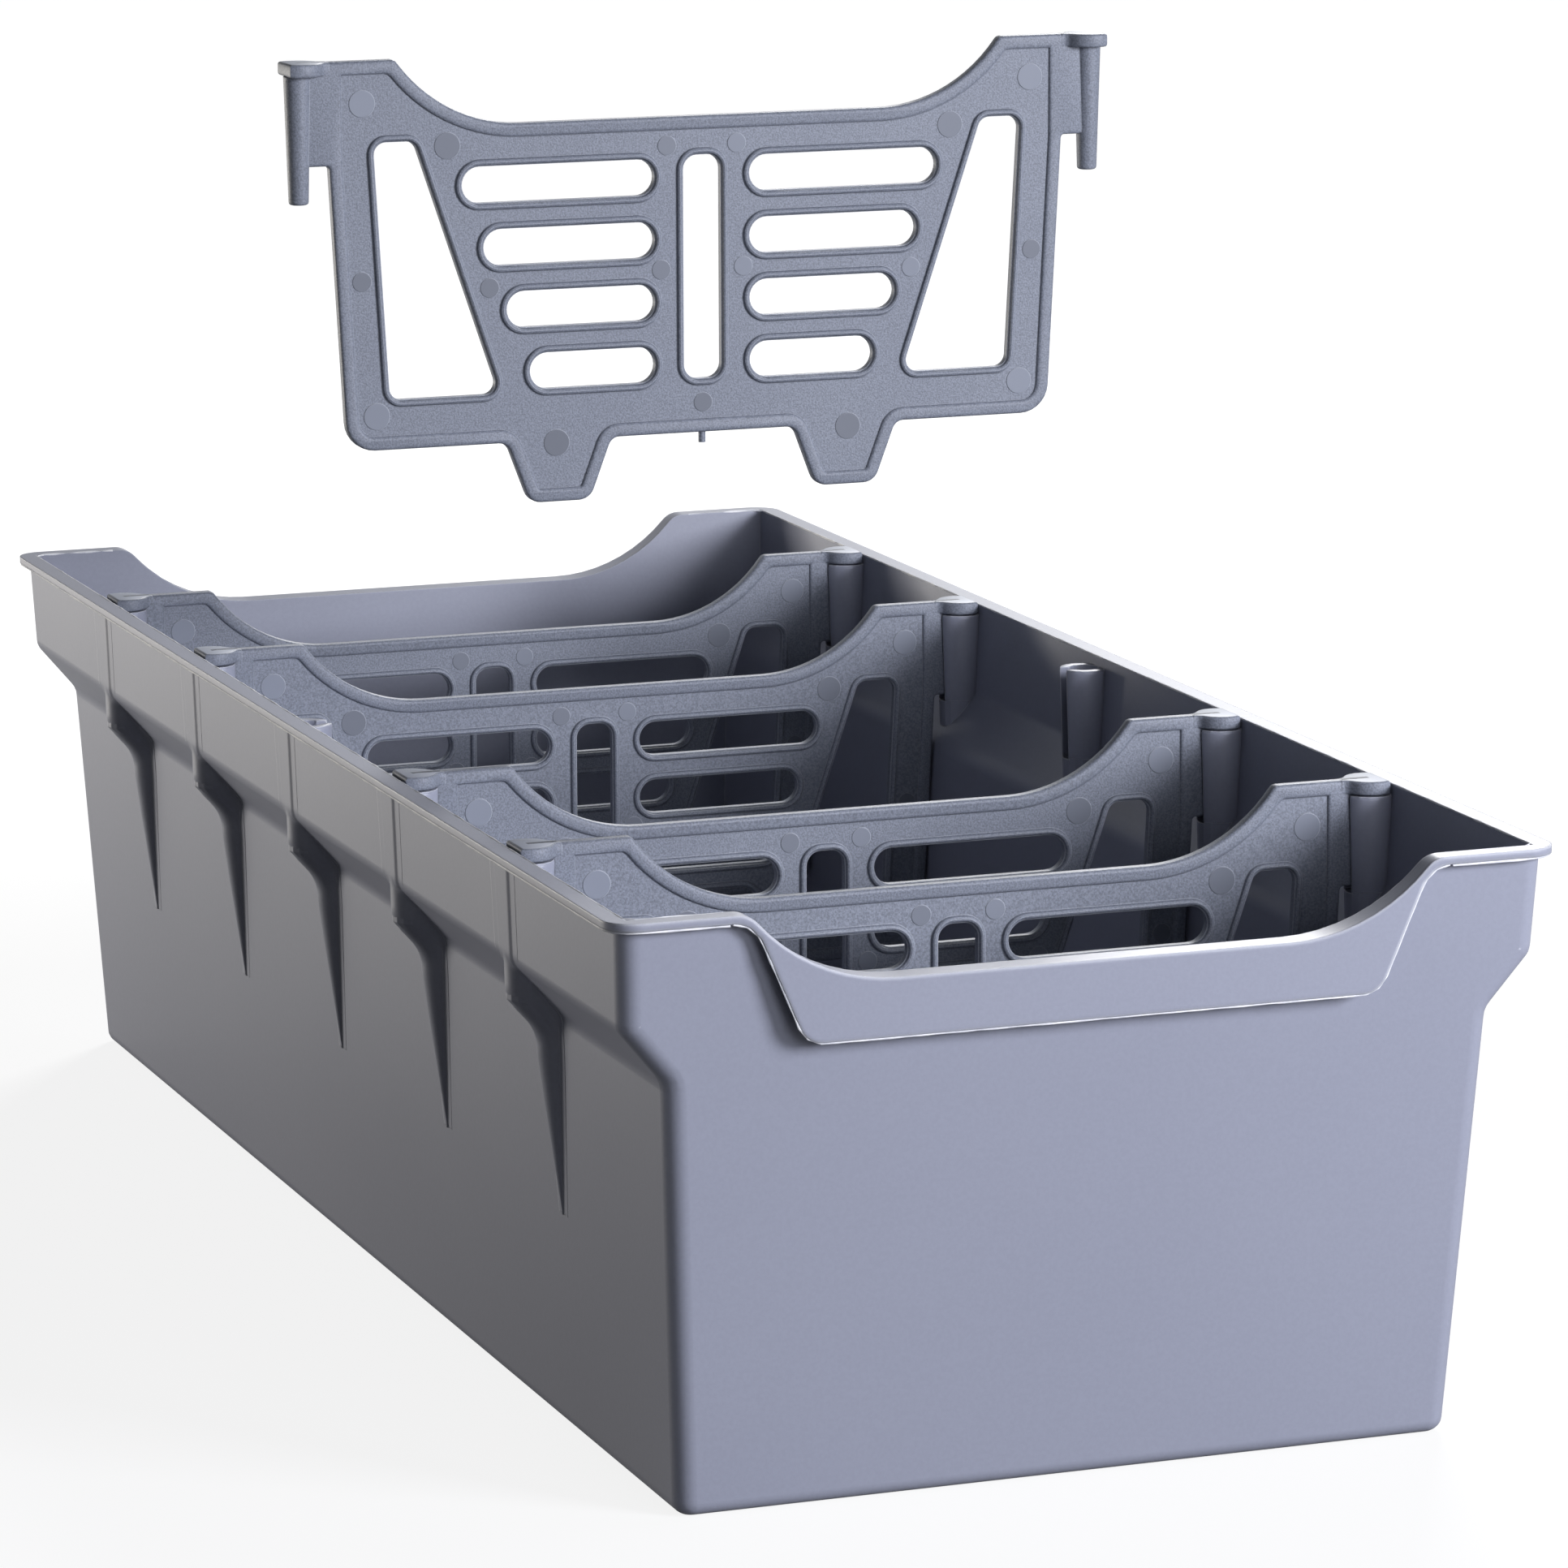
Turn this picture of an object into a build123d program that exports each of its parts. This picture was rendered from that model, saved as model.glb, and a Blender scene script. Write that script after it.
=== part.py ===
from build123d import *
from math import cos, radians, sqrt, tan
import os

# Spice organizer: an open bin with a flanged rim and a scooped apron at each end,
# and five lift-out lattice dividers that hang by two pins each in slit sockets.
# Millimetres. X runs along the short side, Y from the front end to the rear, Z up.
# The origin is at the middle of the underside.

# Bin
length = 340.0
width = 150.0
height = 92.0
wall = 1.5
floor_thickness = 1.6
rim_overhang = 1.8
rim_thickness = 1.2
corner_radius = 3.0
floor_edge_round = 2.4
floor_inner_round = 1.2
band_height = 16.6
band_draft = 2.4
shoulder_drop = 8.4
shoulder_width = 7.0
shoulder_top_round = 3.0
shoulder_foot_round = 4.0
side_draft = 2.95
end_draft = 4.8

# Scoop in both ends, and the apron that hangs below it
scoop_depth = 11.0
scoop_flat = 62.0
scoop_radius = 29.5
scoop_lip_round = 4.0
apron_depth = 19.8
apron_thickness = 1.2
apron_top_width = 106.6
apron_foot_width = 90.6
apron_foot_round = 4.0
apron_root_round = 5.0

# Sockets for the divider pins. Pins, heads and sockets repeat, so their rounds have few sides
round_sides = 16
station_count = 5
station_pitch = 57.2
pin_inset = 4.1
socket_drop = 1.8
socket_radius = 4.05
socket_foot_radius = 3.4
socket_depth = 21.0
socket_merge = 3.0
slit_depth = 15.6
slit_clearance = 0.3
pin_clearance = 0.3
strip_width = 5.4
strip_foot_width = 4.4
strip_proud = 0.3
boss_knee_drop = 6.4
boss_turn = 42.2
boss_step = 4.8
boss_ankle_length = 2.5
boss_taper_length = 25.8
boss_tip_radius = 0.2

# Divider
divider_height = 63.8
head_thickness = 2.2
head_radius = 4.15
head_wall_gap = 0.5
seat_gap = 0.2
pin_radius = 2.2
pin_tip_radius = 1.65
pin_length = 20.8
ear_height = 16.9
side_gap = 0.35
panel_thickness = 1.3
frame_thickness = 2.3
frame_width = 2.3
divider_scoop_depth = 11.1
divider_scoop_flat = 63.0
divider_scoop_radius = 26.0
divider_lip_round = 1.2
divider_corner_round = 5.0
tab_spacing = 50.4
tab_root_width = 18.2
tab_tip_width = 10.5
tab_length = 10.2
tab_root_round = 2.0
tab_tip_round = 2.8

# Windows of the divider, measured down from the top of its heads and in from its sides
side_window_top = 13.4
side_window_foot = 55.6
side_window_border_top = 7.5
side_window_border_foot = 7.8
side_window_width_top = 7.0
side_window_width_foot = 18.9
side_window_cut = 1.2
slot_height = 6.0
slot_first_drop = 21.0
slot_pitch = 10.37
slot_inner_end = 8.3
slot_webs = [5.4, 5.6, 6.0, 6.4]
centre_slot_width = 6.6
centre_slot_top = 17.6
centre_slot_foot = 54.8
centre_slot_cut = 1.4
sprue_radius = 0.6
sprue_length = 1.8

# How high divider 3 is drawn above its seat at rest
display_lift = 106.0

# Places that follow from the sizes above
rim_half = width / 2 - rim_overhang
band_foot = height - band_height
band_foot_half = rim_half - band_height * tan(radians(band_draft))
shoulder_foot = band_foot - shoulder_drop
shoulder_foot_half = band_foot_half - shoulder_width
floor_half = shoulder_foot_half - shoulder_foot * tan(radians(side_draft))
end_half = length / 2 - rim_overhang
end_floor_half = end_half - height * tan(radians(end_draft))
stations = [station_pitch * (i - (station_count - 1) / 2) for i in range(station_count)]
pin_x = rim_half - pin_inset
bore_radius = pin_radius + pin_clearance
bore_foot_radius = pin_tip_radius + pin_clearance
socket_top = height - socket_drop
bore_foot = socket_top - socket_depth
slit_width = frame_thickness + 2 * slit_clearance
head_top = socket_top + seat_gap + head_thickness
past = 2.0


def wall_inside(z):
    """Half the clear width between the lower side walls at height z."""
    skin = wall / cos(radians(side_draft))
    return floor_half + z * tan(radians(side_draft)) - skin


def tub(inset, bottom, corner, edge_round):
    """Everything inside the bin's outer skin, drawn in by inset, from bottom to past the rim."""
    above = past + wall
    right = [
        (floor_half, 0),
        (shoulder_foot_half, shoulder_foot),
        (band_foot_half, band_foot),
        (rim_half + above * tan(radians(band_draft)), height + above),
    ]
    left = [(-x, z) for x, z in reversed(right)]
    ends = [(end_floor_half, 0), (end_half + above * tan(radians(end_draft)), height + above)]
    ends += [(-y, z) for y, z in reversed(ends)]
    with BuildPart() as form:
        with BuildSketch(Plane.XZ) as across:
            with BuildLine():
                Polyline(*right, *left, close=True)
            make_face()
            fillet(across.vertices().group_by(Axis.Y)[1], shoulder_foot_round)
            fillet(across.vertices().group_by(Axis.Y)[3], shoulder_top_round)
            if inset:
                offset(amount=-inset, kind=Kind.INTERSECTION)
        extrude(amount=length, both=True)
        with BuildSketch(Plane.YZ):
            with BuildLine():
                Polyline(*ends, close=True)
            make_face()
            if inset:
                offset(amount=-inset, kind=Kind.INTERSECTION)
        extrude(amount=width, both=True, mode=Mode.INTERSECT)
        if corner:
            uprights = form.edges().filter_by(lambda e: not is_level(e) and is_at_corner(e, inset))
            fillet(uprights, corner)
        if bottom:
            split(bisect_by=Plane.XY.offset(bottom), keep=Keep.TOP)
        if edge_round:
            fillet(form.edges().group_by(Axis.Z)[0], edge_round)
    return form.part


def is_level(edge):
    """Whether an edge stays at one height."""
    box = edge.bounding_box()
    return box.size.Z < 0.01


def is_at_corner(edge, inset):
    """Whether an edge runs up one of the four corners."""
    middle = edge.center()
    end_here = end_floor_half + middle.Z * tan(radians(end_draft)) - inset
    return abs(abs(middle.Y) - end_here) < 1.0 and abs(middle.X) > floor_half - inset - 1.0


def scoop_line(grow=0.0, flat=scoop_flat, depth=scoop_depth, radius=scoop_radius,
               lip=scoop_lip_round, top=height):
    """Upper outline of a scoop, or that outline moved down into the plastic by grow."""
    reach = radius + lip
    drop = reach - depth
    lip_x = flat / 2 + sqrt(reach ** 2 - drop ** 2)
    share = (radius + grow) / reach
    turn = (flat / 2 + (lip_x - flat / 2) * share, top - depth + radius - drop * share)
    start = (flat / 2, top - depth - grow)
    with BuildLine(mode=Mode.PRIVATE) as half:
        Line((0, start[1]), start)
        sweep_arc = TangentArc(start, turn, tangent=(1, 0))
        TangentArc(turn, (lip_x, top - grow), tangent=sweep_arc % 1)
        Line((lip_x, top - grow), (lip_x, top + past))
        Line((lip_x, top + past), (0, top + past))
        mirror(about=Plane.YZ)
    return half.line


def small_round(sections):
    """A straight-sided form through level rounds of few sides, each given as x, z and radius."""
    with BuildPart() as form:
        for x, z, radius in sections:
            with BuildSketch(Plane.XY.offset(z)):
                with Locations((x, 0)):
                    RegularPolygon(radius, round_sides)
        loft(ruled=True)
    return form.part


# Hollow of the bin, and its lower part up to where the sockets leave the wall
with BuildPart() as hollow:
    add(tub(wall, floor_thickness, 0, floor_inner_round))
with BuildPart() as low_hollow:
    add(hollow.part)
    split(bisect_by=Plane.XY.offset(shoulder_foot + socket_merge), keep=Keep.BOTTOM)

# Raised strip on the outside of the band at each socket
with BuildPart() as strip:
    with BuildSketch(Plane.YZ.offset(band_foot_half - wall / 2)):
        with BuildLine():
            Polyline(
                (strip_width / 2, height - rim_thickness / 2),
                (-strip_width / 2, height - rim_thickness / 2),
                (-strip_foot_width / 2, band_foot - shoulder_top_round / 2),
                (strip_foot_width / 2, band_foot - shoulder_top_round / 2),
                close=True,
            )
        make_face()
    extrude(amount=width)
    add(tub(-strip_proud, 0, 0, 0), mode=Mode.INTERSECT)

# One pin socket: tube, closed bottom that turns in below the band, and its taper down the wall
knee_z = band_foot - boss_knee_drop
ankle_x = pin_x - boss_step
ankle_z = knee_z - boss_step / tan(radians(boss_turn))
toe_z = ankle_z - boss_ankle_length
tip_z = toe_z - boss_taper_length
tip_x = floor_half + tip_z * tan(radians(side_draft))
with BuildPart() as socket:
    add(small_round([
        (pin_x, socket_top, socket_radius),
        (pin_x, knee_z, socket_foot_radius),
        (ankle_x, ankle_z, socket_foot_radius),
        (ankle_x, toe_z, socket_foot_radius),
        (tip_x, tip_z, boss_tip_radius),
    ]))
    add(low_hollow.part, mode=Mode.SUBTRACT)
    add(strip.part)
    mirror(about=Plane.YZ)
with BuildPart() as bores:
    add(small_round([
        (pin_x, socket_top, bore_radius),
        (pin_x, bore_foot, bore_foot_radius),
    ]))
    mirror(about=Plane.YZ)

# Rim of one scooped end: its lip and the apron below
with BuildPart() as apron:
    with BuildSketch(Plane.XZ.offset(length / 2 - apron_thickness)) as sheet:
        with BuildLine():
            under = height - rim_thickness
            foot = height - apron_depth
            right = [
                (apron_foot_width / 2, foot),
                (apron_top_width / 2, under),
                (apron_top_width / 2 + 2 * apron_root_round, under),
                (apron_top_width / 2 + 2 * apron_root_round, height),
            ]
            Polyline(*right, *[(-x, z) for x, z in reversed(right)], close=True)
        make_face()
        fillet(sheet.vertices().group_by(Axis.Y)[0], apron_foot_round)
        roots = sheet.vertices().filter_by_position(Axis.Y, under - 0.1, under + 0.1)
        fillet(roots.filter_by(lambda v: abs(v.X) < apron_top_width / 2 + 1), apron_root_round)
    extrude(amount=apron_thickness)
    with BuildSketch(Plane.XZ.offset(length / 2 - rim_overhang - wall)):
        with BuildLine():
            add(scoop_line(grow=rim_thickness))
        make_face()
    extrude(amount=rim_overhang + wall)
    split(bisect_by=Plane.XY.offset(height), keep=Keep.BOTTOM)

with BuildPart() as storage_bin:
    add(tub(0, 0, corner_radius, floor_edge_round))
    split(bisect_by=Plane.XY.offset(height), keep=Keep.BOTTOM)
    with BuildSketch(Plane.XY.offset(height - rim_thickness)):
        RectangleRounded(width, length, corner_radius + rim_overhang)
    extrude(amount=rim_thickness)
    add(apron.part)
    mirror(apron.part, about=Plane.XZ)
    add(hollow.part, mode=Mode.SUBTRACT)
    with Locations(*[(0, y, 0) for y in stations]):
        add(socket.part)
    with Locations(*[(0, y, 0) for y in stations]):
        add(bores.part, mode=Mode.SUBTRACT)
    with Locations(*[(0, y, socket_top - slit_depth) for y in stations]):
        Box(2 * pin_x, slit_width, slit_depth + past, align=(Align.CENTER, Align.CENTER, Align.MIN),
            mode=Mode.SUBTRACT)
    with BuildSketch(Plane.XZ):
        with BuildLine():
            add(scoop_line())
        make_face()
    extrude(amount=length, both=True, mode=Mode.SUBTRACT)
storage_bin.part.label = "storage_bin"


def plate_half(drop):
    """Half the divider's width where it is drop below the top of its heads."""
    return wall_inside(min(head_top - drop, head_top - ear_height)) - side_gap


def frame_outline(recess=False):
    """Outline of a divider's plate, or a plainer one for its recess, y up from the top of its heads."""
    tab_x = tab_spacing / 2
    scoop = scoop_line(flat=divider_scoop_flat, depth=divider_scoop_depth, radius=divider_scoop_radius,
                       lip=divider_lip_round, top=0)
    right = [
        (tab_x - tab_root_width / 2, -divider_height),
        (tab_x - tab_tip_width / 2, -divider_height - tab_length),
        (tab_x + tab_tip_width / 2, -divider_height - tab_length),
        (tab_x + tab_root_width / 2, -divider_height),
        (plate_half(divider_height), -divider_height),
        (plate_half(ear_height), -ear_height),
        (pin_x, -ear_height),
        (pin_x, 0),
    ]
    if recess:
        right[-2:] = [(plate_half(ear_height), 0)]
    left = [(-x, y) for x, y in reversed(right)]
    with BuildSketch() as outline:
        with BuildLine():
            Polyline(*right, *left, close=True)
        make_face()
        if not recess:
            rows = outline.vertices().group_by(Axis.Y)
            fillet(rows[0], tab_tip_round)
            fillet(rows[1].filter_by(lambda v: abs(v.X) < tab_x + tab_root_width), tab_root_round)
            corners = outline.vertices().filter_by(lambda v: abs(v.X) > plate_half(divider_height) - 0.1)
            fillet(corners.group_by(Axis.Y)[0], divider_corner_round)
        with BuildLine():
            add(scoop)
        make_face(mode=Mode.SUBTRACT)
    return outline.sketch


def side_window_edges(drop):
    """How far out a side window's outer and inner edges are at drop below the heads."""
    outer_top = plate_half(side_window_top) - side_window_border_top
    outer_foot = plate_half(side_window_foot) - side_window_border_foot
    inner_top = outer_top - side_window_width_top
    inner_foot = outer_foot - side_window_width_foot
    share = (drop - side_window_top) / (side_window_foot - side_window_top)
    return outer_top + (outer_foot - outer_top) * share, inner_top + (inner_foot - inner_top) * share


outline = frame_outline()
with BuildSketch() as field:
    add(frame_outline(recess=True))
    offset(amount=-frame_width, kind=Kind.INTERSECTION)
with BuildSketch() as windows:
    with BuildLine():
        outer_top, inner_top = side_window_edges(side_window_top)
        outer_foot, inner_foot = side_window_edges(side_window_foot)
        Polyline(
            (outer_top, -side_window_top),
            (inner_top, -side_window_top),
            (inner_foot, -side_window_foot),
            (outer_foot, -side_window_foot),
            close=True,
        )
    make_face()
    chamfer(windows.vertices(), side_window_cut)
    for row, web in enumerate(slot_webs):
        drop = slot_first_drop + row * slot_pitch
        outer_end = side_window_edges(drop)[1] - web
        with BuildSketch(mode=Mode.PRIVATE) as slot:
            with Locations((slot_inner_end + slot_height / 2, -drop), (outer_end - slot_height / 2, -drop)):
                RegularPolygon(slot_height / 2, round_sides)
            make_hull()
        add(slot.sketch)
    mirror(about=Plane.YZ)
    with BuildSketch(mode=Mode.PRIVATE) as centre_slot:
        with Locations((0, -(centre_slot_top + centre_slot_foot) / 2)):
            Rectangle(centre_slot_width, centre_slot_foot - centre_slot_top)
        chamfer(centre_slot.vertices(), centre_slot_cut)
    add(centre_slot.sketch)
head_flat_x = rim_half - wall - head_wall_gap
pin = small_round([
    (pin_x, 0, pin_radius),
    (pin_x, -pin_length, pin_tip_radius),
])


def make_divider(station, lift):
    """A lattice divider over one pair of sockets, raised by lift from its seat."""
    top = head_top + lift
    face = Plane(origin=(0, station, top), x_dir=(1, 0, 0), z_dir=(0, -1, 0))
    with BuildPart() as divider:
        # A tapered pin under a head that is cut flat beside the wall, at both ends
        with Locations((0, station, top - head_thickness)):
            add(pin)
        with BuildSketch(Plane((pin_x, station, top - head_thickness))):
            RegularPolygon(head_radius, round_sides)
            with Locations((head_flat_x - pin_x, 0)):
                Rectangle(head_radius, 2 * head_radius, align=(Align.MIN, Align.CENTER), mode=Mode.SUBTRACT)
        extrude(amount=head_thickness)
        mirror(about=Plane.YZ)
        # Thin panel inside a thicker frame, with the windows through it
        with BuildSketch(face):
            add(outline)
        extrude(amount=frame_thickness / 2, both=True)
        for side in (-1, 1):
            with BuildSketch(face.offset(side * panel_thickness / 2)):
                add(field.sketch)
            extrude(amount=side * frame_thickness, mode=Mode.SUBTRACT)
        with BuildSketch(face):
            add(windows.sketch)
        extrude(amount=frame_thickness, both=True, mode=Mode.SUBTRACT)
        with Locations((0, station, top - divider_height)):
            Cylinder(sprue_radius, sprue_length, align=(Align.CENTER, Align.CENTER, Align.MAX))
    return divider.part


os.makedirs("parts", exist_ok=True)
export_step(storage_bin.part, "parts/storage_bin.step")
for number, station in enumerate(stations, start=1):
    divider = make_divider(station, display_lift if number == 3 else 0)
    divider.label = f"divider_{number}"
    export_step(divider, f"parts/divider_{number}.step")
print(storage_bin.part.bounding_box(), storage_bin.part.volume, len(storage_bin.part.solids()))
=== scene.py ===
from math import asin, atan2, cos, degrees, pi, radians, sin, sqrt, tan

import bmesh
import bpy
from mathutils import Matrix, Vector


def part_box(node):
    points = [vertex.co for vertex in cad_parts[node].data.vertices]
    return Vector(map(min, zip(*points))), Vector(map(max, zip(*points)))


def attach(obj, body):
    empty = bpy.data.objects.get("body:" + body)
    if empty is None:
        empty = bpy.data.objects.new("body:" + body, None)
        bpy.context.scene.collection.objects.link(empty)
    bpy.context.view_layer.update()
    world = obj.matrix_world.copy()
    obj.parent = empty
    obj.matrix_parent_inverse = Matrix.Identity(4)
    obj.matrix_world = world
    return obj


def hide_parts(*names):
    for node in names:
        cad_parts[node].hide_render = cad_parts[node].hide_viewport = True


# Spice organizer: moulded bin with five lift-out lattice dividers.
# Sizes in the dictionaries are millimetres, and mm turns them to metres.
mm = 0.001
sharpFrom = radians(35)  # an edge that turns by more than this stays sharp
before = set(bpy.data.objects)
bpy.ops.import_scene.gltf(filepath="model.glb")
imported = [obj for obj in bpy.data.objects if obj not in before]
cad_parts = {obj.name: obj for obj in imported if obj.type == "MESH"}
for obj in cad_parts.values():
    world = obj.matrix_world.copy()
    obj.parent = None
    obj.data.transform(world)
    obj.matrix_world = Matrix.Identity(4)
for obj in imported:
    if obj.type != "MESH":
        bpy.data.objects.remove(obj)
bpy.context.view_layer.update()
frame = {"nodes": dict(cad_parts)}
print("frame loaded:", ", ".join(frame["nodes"]))


def toLinear(code):
    # sRGB hex colour to linear RGBA
    parts = [int(code[i:i + 2], 16) / 255 for i in (1, 3, 5)]
    return [p / 12.92 if p <= 0.04045 else ((p + 0.055) / 1.055) ** 2.4 for p in parts] + [1.0]


def addNode(tree, kind, inputs=None, **settings):
    # an input is a socket to link from, or a value
    node = tree.nodes.new(kind)
    for name, value in settings.items():
        setattr(node, name, value)
    for name, value in (inputs or {}).items():
        if isinstance(value, bpy.types.NodeSocket):
            tree.links.new(value, node.inputs[name])
        else:
            node.inputs[name].default_value = value
    return node


def newMaterial(name):
    material = bpy.data.materials.new(name)
    material.use_nodes = True
    material.node_tree.nodes.clear()
    return material, material.node_tree


# Camera, fitted to the photograph's rim corners, floor corners and divider heads
camera = {
    "target": (14.4, 0.0, 73.85),
    "azimuth": -20.4,
    "elevation": 11.49,
    "roll": -0.16,
    "distance": 1191.5,
    "lens": 162.14,
    "sensor": 36.0,
}


def addCamera():
    around, above = radians(camera["azimuth"]), radians(camera["elevation"])
    back = Vector((sin(around) * cos(above), -cos(around) * cos(above), sin(above)))
    right = Vector((cos(around), sin(around), 0))
    up = back.cross(right)
    turned = Matrix((right, up, back)).transposed() @ Matrix.Rotation(radians(camera["roll"]), 3, "Z")
    lens = bpy.data.cameras.new("productLens")
    lens.sensor_width = camera["sensor"]
    lens.lens = camera["lens"]
    lens.clip_start = 0.05
    lens.clip_end = 20
    eye = bpy.data.objects.new("productCamera", lens)
    eye.matrix_world = turned.to_4x4()
    eye.location = (Vector(camera["target"]) + back * camera["distance"]) * mm
    bpy.context.collection.objects.link(eye)
    bpy.context.scene.camera = eye


addCamera()
print("camera set")

# Studio: a lamp behind and above for thin bright edges, a cool low key from the front right
# with a weak fill, and a warm low one from the rear left.
# The floor glows towards the camera, and more dimly near the object towards what mirrors it, a painted
# shadow of the object on the floor.
studio = {
    "floorSide": 5000.0,
    # the floor's glow to the camera, and how far from the middle it rises
    "nearGlow": 0.86,
    "farGlow": 1.0,
    "near": 230.0,
    "far": 520.0,
    # the same as a mirror sees it, dimmer near the object: a painted shadow of the object on the floor
    "mirrorNear": 0.09,
    "mirrorFar": 0.4,
    "mirrorFrom": 110.0,
    "mirrorTo": 430.0,
    # the backdrop as a mirror sees it, and between which directions along Y it brightens
    "backdropMirror": 0.4,
    "backdropFrom": -0.2,
    "backdropTo": 0.6,
    "aimHeight": 60.0,  # where all lamps point, above the middle of the floor
    "floorColour": "#6e6e6e",
    "background": "#ffffff",
    "ambient": "#e4e8ee",
    "ambientLevel": 0.05,
}
# each lamp: where it hangs, its width and height, its watts and its colour
lamps = {
    "rearTop": ((560, 900, 760), (300, 200), 11.0, "#ffffff"),
    "frontRight": ((560, -800, 360), (320, 320), 10.6, "#f3f5ff"),
    "frontFill": ((150, -1200, 380), (500, 400), 3.2, "#f3f5ff"),
    "rearLeft": ((-650, 800, 50), (460, 80), 5.2, "#fffaf2"),
}


def whiteLevel(tree, seen, mirrored):
    # one level for camera rays, another for mirror and see-through rays, and nothing for the rest
    path = addNode(tree, "ShaderNodeLightPath")
    shown = addNode(tree, "ShaderNodeMath", {
        0: path.outputs["Is Camera Ray"],
        1: seen,
    }, operation="MULTIPLY")
    bounced = addNode(tree, "ShaderNodeMath", {
        0: path.outputs["Is Glossy Ray"],
        1: path.outputs["Is Transmission Ray"],
    }, operation="MAXIMUM")
    return addNode(tree, "ShaderNodeMath", {
        0: bounced.outputs[0],
        1: mirrored,
        2: shown.outputs[0],
    }, operation="MULTIPLY_ADD").outputs[0]


def addBackdrop():
    # the backdrop is bright behind the object, and the room on the camera's side is dim
    world = bpy.data.worlds.new("studio")
    world.use_nodes = True
    bpy.context.scene.world = world
    tree = world.node_tree
    tree.nodes.clear()
    direction = addNode(tree, "ShaderNodeTexCoord").outputs["Generated"]
    towards = addNode(tree, "ShaderNodeSeparateXYZ", {0: direction})
    backdrop = addNode(tree, "ShaderNodeMapRange", {
        "Value": towards.outputs["Y"],
        "From Min": studio["backdropFrom"],
        "From Max": studio["backdropTo"],
        "To Min": studio["mirrorNear"],
        "To Max": studio["backdropMirror"],
    })
    level = whiteLevel(tree, 1.0, backdrop.outputs[0])
    white = addNode(tree, "ShaderNodeBackground", {
        "Color": toLinear(studio["background"]),
        "Strength": level,
    })
    soft = addNode(tree, "ShaderNodeBackground", {
        "Color": toLinear(studio["ambient"]),
        "Strength": studio["ambientLevel"],
    })
    both = addNode(tree, "ShaderNodeAddShader", {0: soft.outputs[0], 1: white.outputs[0]})
    addNode(tree, "ShaderNodeOutputWorld", {"Surface": both.outputs[0]})


def addFloor():
    half = studio["floorSide"] / 2 * mm
    sheet = bpy.data.meshes.new("studioFloor")
    corners = [(-half, -half, 0), (half, -half, 0), (half, half, 0), (-half, half, 0)]
    sheet.from_pydata(corners, [], [(0, 1, 2, 3)])
    floor = bpy.data.objects.new("studioFloor", sheet)
    bpy.context.collection.objects.link(floor)
    # Painted board, matt: a plain white that still takes the shadow
    board, tree = newMaterial("mattPaintedBoard")
    matt = addNode(tree, "ShaderNodeBsdfDiffuse", {"Color": toLinear(studio["floorColour"])})
    place = addNode(tree, "ShaderNodeTexCoord").outputs["Object"]
    away = addNode(tree, "ShaderNodeVectorMath", {0: place}, operation="LENGTH")
    rise = addNode(tree, "ShaderNodeMapRange", {
        "Value": away.outputs["Value"],
        "From Min": studio["near"] * mm,
        "From Max": studio["far"] * mm,
        "To Min": studio["nearGlow"],
        "To Max": studio["farGlow"],
    })
    # painted shadow: mirror rays see the floor dimmer near the object
    mirrored = addNode(tree, "ShaderNodeMapRange", {
        "Value": away.outputs["Value"],
        "From Min": studio["mirrorFrom"] * mm,
        "From Max": studio["mirrorTo"] * mm,
        "To Min": studio["mirrorNear"],
        "To Max": studio["mirrorFar"],
    })
    strength = whiteLevel(tree, rise.outputs[0], mirrored.outputs[0])
    glow = addNode(tree, "ShaderNodeEmission", {"Strength": strength})
    lit = addNode(tree, "ShaderNodeAddShader", {0: matt.outputs[0], 1: glow.outputs[0]})
    addNode(tree, "ShaderNodeOutputMaterial", {"Surface": lit.outputs[0]})
    sheet.materials.append(board)


def addLamps():
    for name, (spot, (wide, tall), watts, colour) in lamps.items():
        light = bpy.data.lights.new(name, "AREA")
        light.shape = "RECTANGLE"
        light.size = wide * mm
        light.size_y = tall * mm
        light.energy = watts
        light.color = toLinear(colour)[:3]
        holder = bpy.data.objects.new(name, light)
        holder.location = Vector(spot) * mm
        holder.rotation_mode = "QUATERNION"
        aim = Vector((0, 0, studio["aimHeight"] * mm)) - holder.location
        holder.rotation_quaternion = aim.to_track_quat("-Z", "Y")
        bpy.context.collection.objects.link(holder)


bpy.context.scene.view_settings.view_transform = "Standard"
addBackdrop()
addFloor()
addLamps()
print("studio lit")

# What both finishes share: the plastic's own gloss, how finely clouds and grain break up,
# and where flecks, the painted shade of inside corners and the painted highlight of edges start to show
# and show in full
polypropylene = {
    "ior": 1.49,
    "cloudDetail": 3.0,
    "cloudRoughness": 0.55,
    "grainDetail": 2.0,
    "grainRoughness": 0.6,
    "fleck": (0.35, 0.65),
    "crease": (0.85, 0.35),
    "edge": (0.98, 0.75),
    "edgeHighlightWeight": 0.75,
}
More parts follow.
